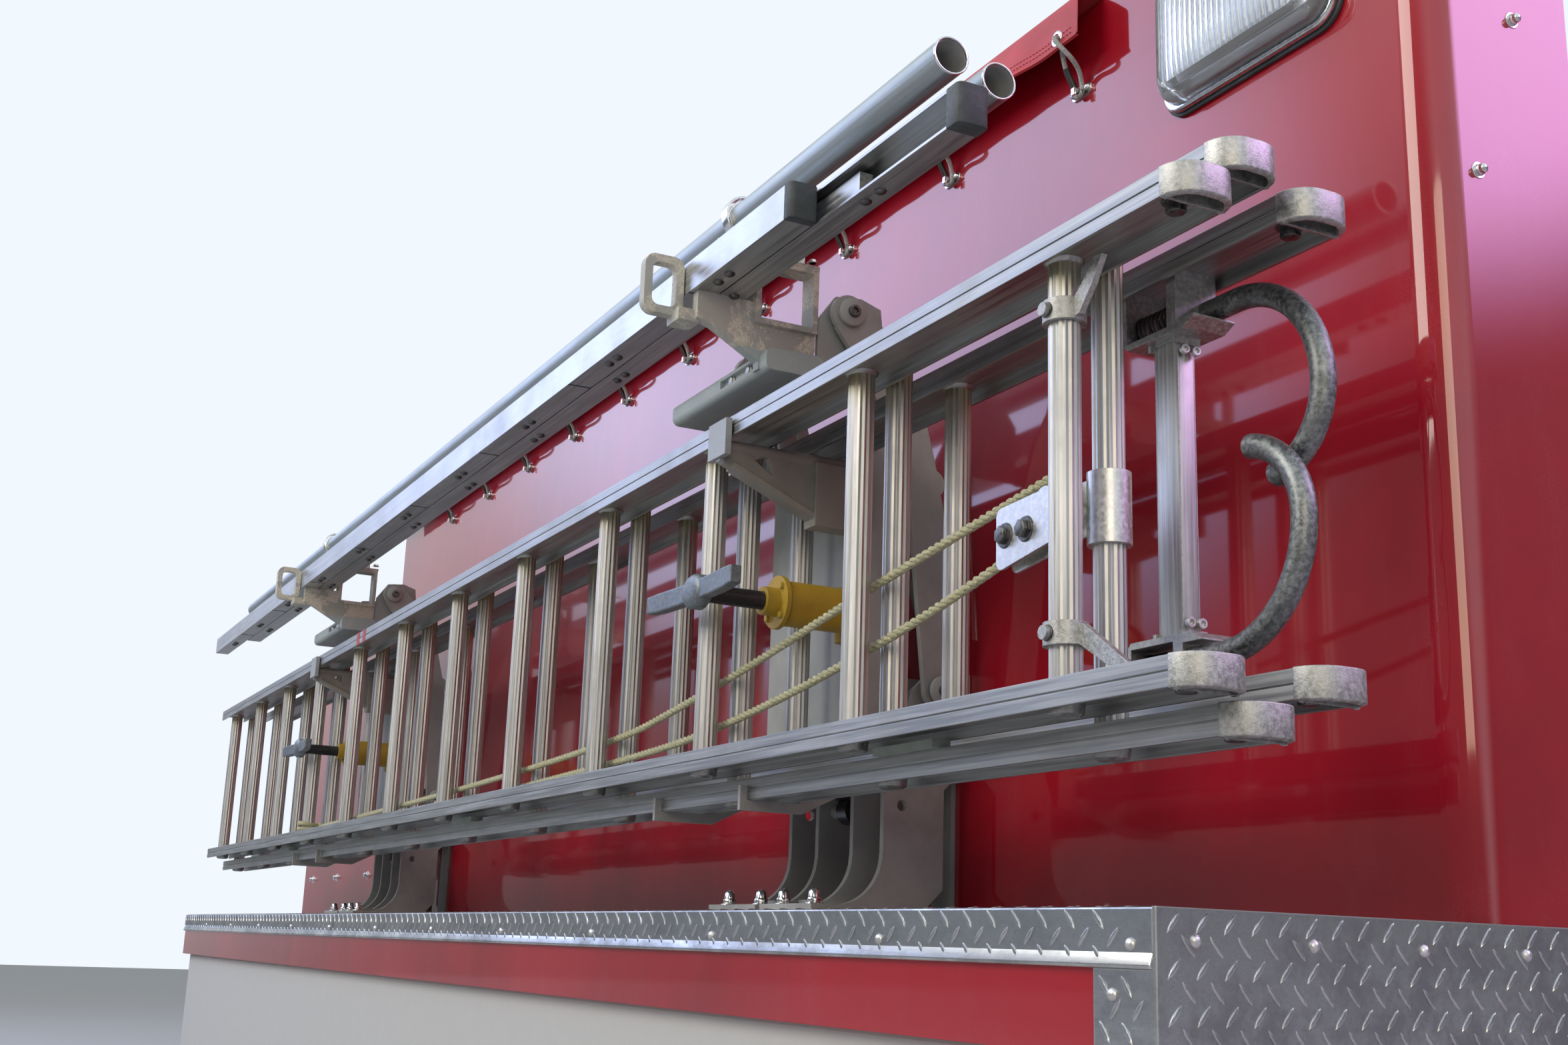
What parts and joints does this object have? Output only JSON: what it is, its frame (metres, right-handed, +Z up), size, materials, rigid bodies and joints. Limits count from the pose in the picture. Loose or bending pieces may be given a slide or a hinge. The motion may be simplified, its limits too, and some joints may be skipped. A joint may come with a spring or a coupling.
{
  "type": "upper body side with folding ladder rack of a fire engine",
  "caption": "Upper rear body side of a fire engine: red wall over a tread plate ledge, with a folding side rack that carries rescue ladders and pole tubes.",
  "frame": {"origin": "centre of the four mounting bolts on the underside of the header beam", "axes": "+X towards the vehicle's rear, -Y outward on the ladder side, +Z up"},
  "size_m": [4.54, 0.64, 1.1933],
  "materials": {
    "red_paint": "deep gloss red with clear coat",
    "tread": "bright tread plate",
    "liner": "brushed sheet",
    "cover": "red coated fabric, stitched",
    "chrome": "polished",
    "shock_cord": "grey woven elastic with dark flecks",
    "lens": "clear ribbed lens",
    "rail_alloy": "weathered satin extrusion",
    "rung_alloy": "bright fluted tube",
    "cast_alloy": "matte casting",
    "guide_plastic": "grey green",
    "hook_steel": "mottled dark galvanised",
    "spring_steel": "black",
    "rope": "olive three strand rope",
    "pulley_zinc": "white zinc plate",
    "rack_paint": "taupe grey paint, worn at the edges",
    "mast_paint": "blue grey paint",
    "ram_black": "black barrel",
    "ram_chrome": "polished rod",
    "clamp_yellow": "mustard yellow",
    "zinc_cast": "speckled zinc grey",
    "attic_alloy": "satin extrusion",
    "cap_rubber": "dark blue grey",
    "tube_alloy": "satin tube"
  },
  "bodies": {
    "body_side": {"header_beam": "red_paint", "ledge_cap": "tread", "ledge_corner": "tread", "wall_skin": "red_paint", "wall_liner": "liner", "cover_flap": "cover", "cover_hooks": "chrome", "shock_loops": "shock_cord", "scene_light": "chrome", "scene_light_lens": "lens", "rack_base_1": "rack_paint", "rack_base_2": "rack_paint"},
    "arms": {"swing_arms_1": "mast_paint", "swing_arms_2": "mast_paint"},
    "links": {"level_links_1": "rack_paint", "level_links_2": "rack_paint"},
    "ram_barrels": {"lift_barrel_1": "ram_black", "lift_barrel_2": "ram_black"},
    "ram_rods": {"lift_rod_1": "ram_chrome", "lift_rod_2": "ram_chrome"},
    "carrier": {"attic_beams": "attic_alloy", "attic_caps": "cap_rubber", "attic_rungs": "attic_alloy", "bed_caps": "cast_alloy", "bed_rails": "rail_alloy", "bed_rungs": "rung_alloy", "clamp_housing_1": "clamp_yellow", "clamp_housing_2": "clamp_yellow", "fly_caps": "cast_alloy", "fly_rails": "rail_alloy", "fly_rungs": "rung_alloy", "halyard": "rope", "halyard_pulley": "pulley_zinc", "hook_frame": "cast_alloy", "hook_springs": "spring_steel", "lower_cradle_1": "rack_paint", "lower_cradle_2": "rack_paint", "mast_1": "mast_paint", "mast_2": "mast_paint", "pole_tubes": "tube_alloy", "rail_guides": "guide_plastic", "roof_caps": "cast_alloy", "roof_rails": "rail_alloy", "roof_rungs": "rung_alloy", "rung_locks": "cast_alloy", "top_bracket_1": "rack_paint", "top_bracket_2": "rack_paint", "tube_straps": "chrome", "upper_cradle_1": "rack_paint", "upper_cradle_2": "rack_paint"},
    "clamp_1": {"clamp_handle_1": "zinc_cast"},
    "clamp_2": {"clamp_handle_2": "zinc_cast"},
    "hook_low": {"roof_hook_lower": "hook_steel"},
    "hook_high": {"roof_hook_upper": "hook_steel"}
  },
  "joints": [
    {"name": "rack_swing", "type": "hinge", "parent": "body_side", "child": "arms", "pos_m": [1.34, 0.093, 0.377], "axis": [1, 0, 0], "range_deg": [0, 90]},
    {"name": "carrier_level", "type": "hinge", "parent": "arms", "child": "carrier", "pos_m": [1.34, -0.044, 0.831], "axis": [1, 0, 0], "range_deg": [-90.5, 0.5]},
    {"name": "links_swing", "type": "hinge", "parent": "body_side", "child": "links", "pos_m": [1.34, 0.123, 0.387], "axis": [1, 0, 0], "range_deg": [-0.5, 90.5]},
    {"name": "ram_tilt", "type": "hinge", "parent": "body_side", "child": "ram_barrels", "pos_m": [1.34, 0.055, 0.24], "axis": [1, 0, 0], "range_deg": [-0.5, 64.72]},
    {"name": "ram_stroke", "type": "slide", "parent": "ram_barrels", "child": "ram_rods", "axis": [0, 0.0583, 0.9983], "range_m": [-0.14448, 0.0005]},
    {"name": "clamp_turn_1", "type": "hinge", "parent": "carrier", "child": "clamp_1", "pos_m": [1.44, -0.15, 0.468], "axis": [0, 1, 0], "range_deg": [0, 90]},
    {"name": "clamp_turn_2", "type": "hinge", "parent": "carrier", "child": "clamp_2", "pos_m": [-0.6936, -0.15, 0.468], "axis": [0, 1, 0], "range_deg": [0, 90]},
    {"name": "hook_low_turn", "type": "hinge", "parent": "carrier", "child": "hook_low", "pos_m": [2.115, -0.058, 0.317], "axis": [1, 0, 0], "range_deg": [0, 90]},
    {"name": "hook_high_turn", "type": "hinge", "parent": "carrier", "child": "hook_high", "pos_m": [2.115, -0.032, 0.63], "axis": [-1, 0, 0], "range_deg": [0, 90]}
  ],
  "couplings": [
    {"joint": "carrier_level", "follows": "rack_swing", "ratio": -1},
    {"joint": "links_swing", "follows": "rack_swing", "ratio": 1},
    {"joint": "ram_tilt", "follows": "rack_swing", "ratio": 0.7136},
    {"joint": "ram_stroke", "follows": "rack_swing", "m_per_rad": -0.09166},
    {"joint": "hook_high_turn", "follows": "hook_low_turn", "ratio": 1}
  ]
}
